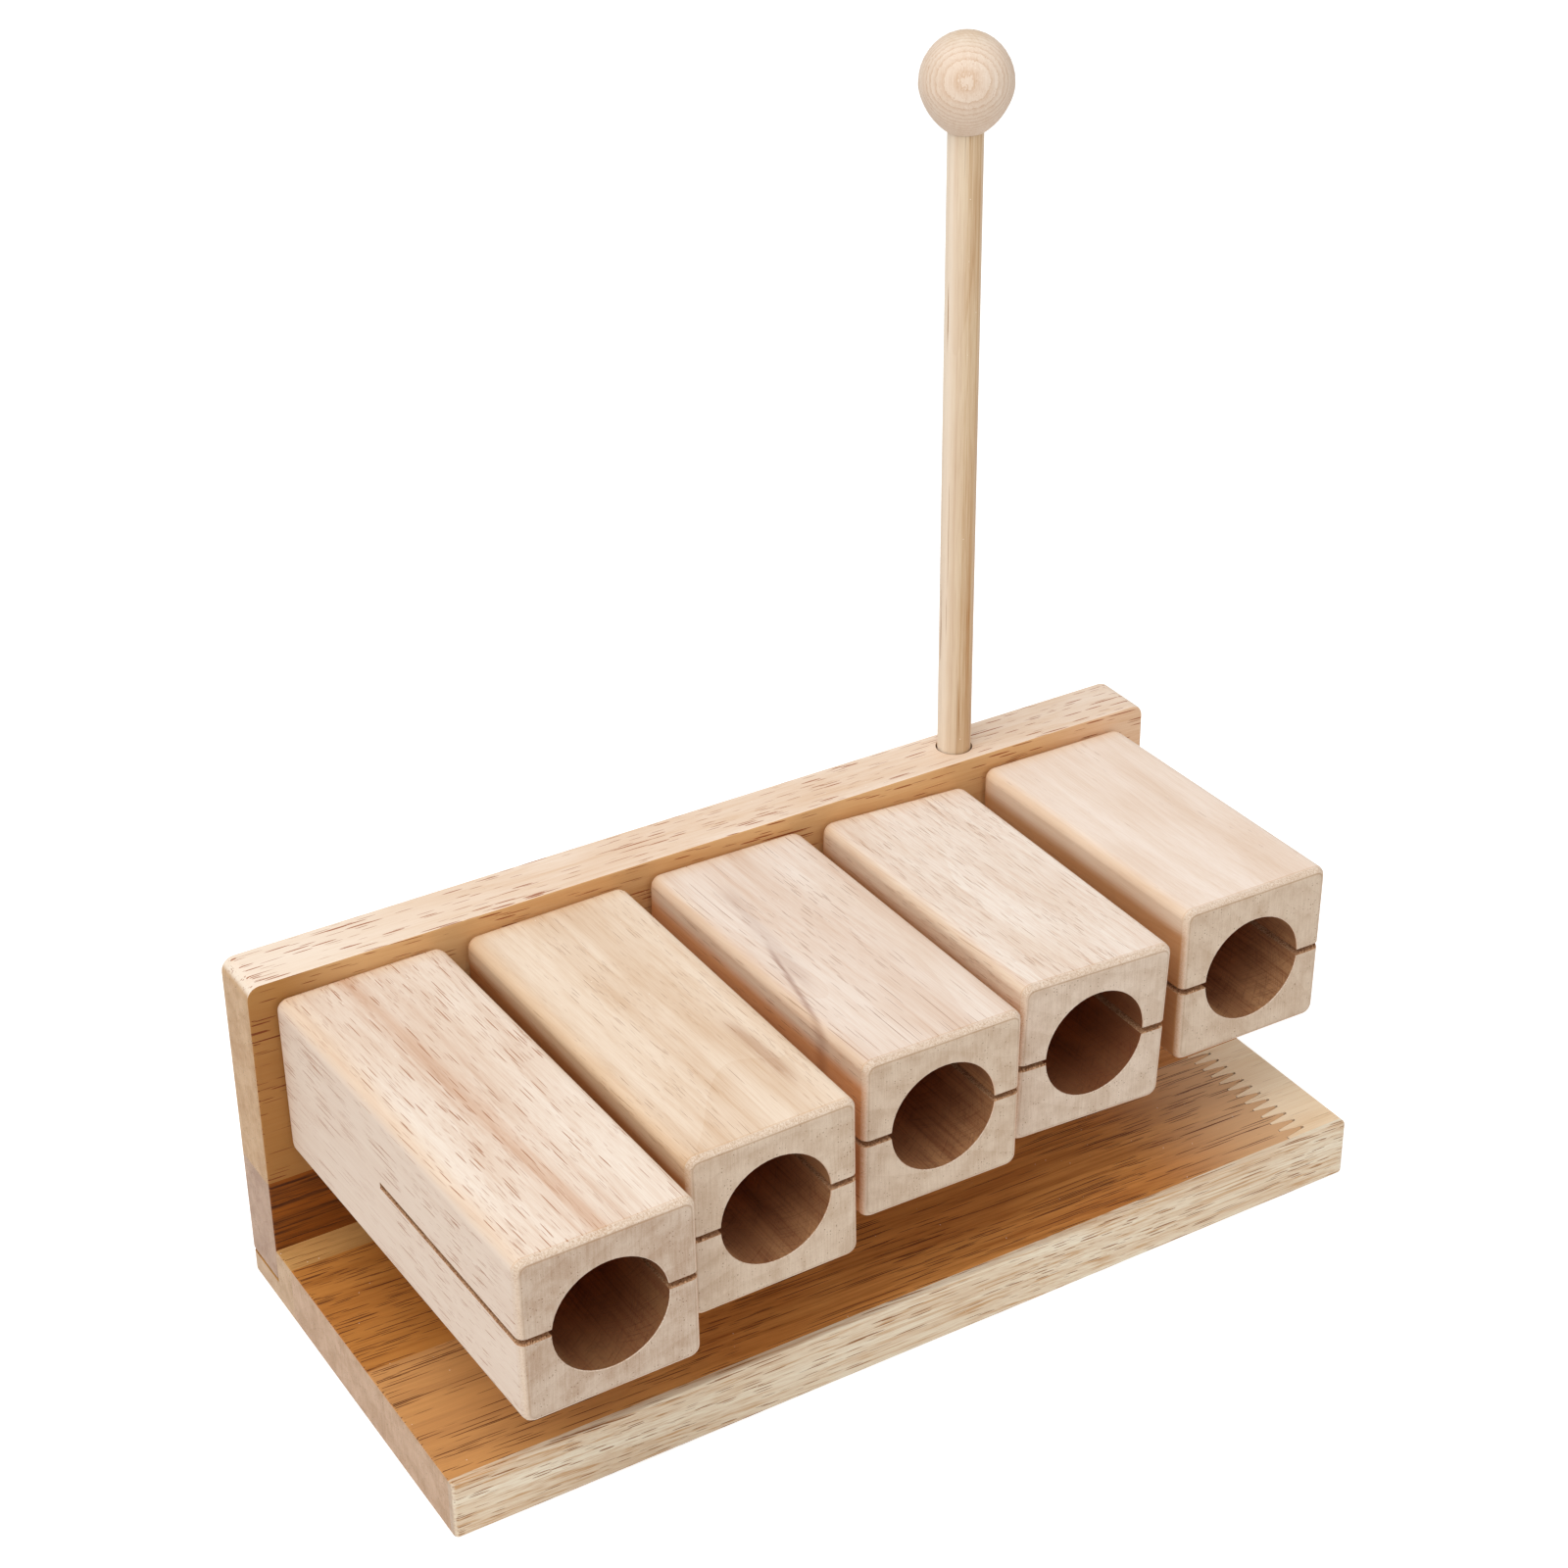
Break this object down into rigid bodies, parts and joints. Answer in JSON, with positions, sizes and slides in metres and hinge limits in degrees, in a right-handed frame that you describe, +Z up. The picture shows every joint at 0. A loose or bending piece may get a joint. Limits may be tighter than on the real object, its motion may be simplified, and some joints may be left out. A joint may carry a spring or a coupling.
{
  "type": "wood block set",
  "caption": "Row of rectangular wood blocks of stepped length, each bored from the front and slit, on an L-shaped wooden stand with a ball mallet standing in its back board.",
  "frame": {"origin": "middle of the base board's underside, on the surface that it stands on", "axes": "+Z up along the mallet, +X to the right along the back board towards the shortest block, -Y towards the blocks' open ends"},
  "size_m": [0.2938, 0.1566, 0.3213],
  "materials": {
    "base_wood": "sanded, thin clear oil, long dark pores",
    "base_edge_wood": "sanded, thin clear oil, pale with long brown streaks",
    "base_end_wood": "sanded, thin clear oil, pale sapwood",
    "base_rear_wood": "sanded, thin clear oil",
    "back_upper_wood": "sanded, thin clear oil",
    "back_lower_wood": "sanded, thin clear oil, darker heartwood",
    "block_wood": "sanded and unfinished, short dark pores",
    "stick_wood": "turned dowel, unfinished",
    "ball_wood": "turned and sanded",
    "screw_steel": "zinc plated"
  },
  "bodies": {
    "stand": {"base_edge_stave": "base_edge_wood", "base_front_stave": "base_wood", "base_front_end_stave": "base_end_wood", "base_middle_stave": "base_wood", "base_rear_stave": "base_rear_wood", "back_lower_stave": "back_lower_wood", "back_upper_stave": "back_upper_wood", "wood_block_1": "block_wood", "wood_block_2": "block_wood", "wood_block_3": "block_wood", "wood_block_4": "block_wood", "wood_block_5": "block_wood", "block_screw_1": "screw_steel", "block_screw_2": "screw_steel", "block_screw_3": "screw_steel", "block_screw_4": "screw_steel", "block_screw_5": "screw_steel", "base_screw_1": "screw_steel", "base_screw_2": "screw_steel", "base_screw_3": "screw_steel", "base_screw_4": "screw_steel"},
    "mallet": {"mallet_stick": "stick_wood", "mallet_ball": "ball_wood"}
  },
  "joints": [
    {"name": "mallet_lift", "type": "slide", "parent": "stand", "child": "mallet", "axis": [0, 0, 1], "range_m": [0, 0.06]}
  ]
}
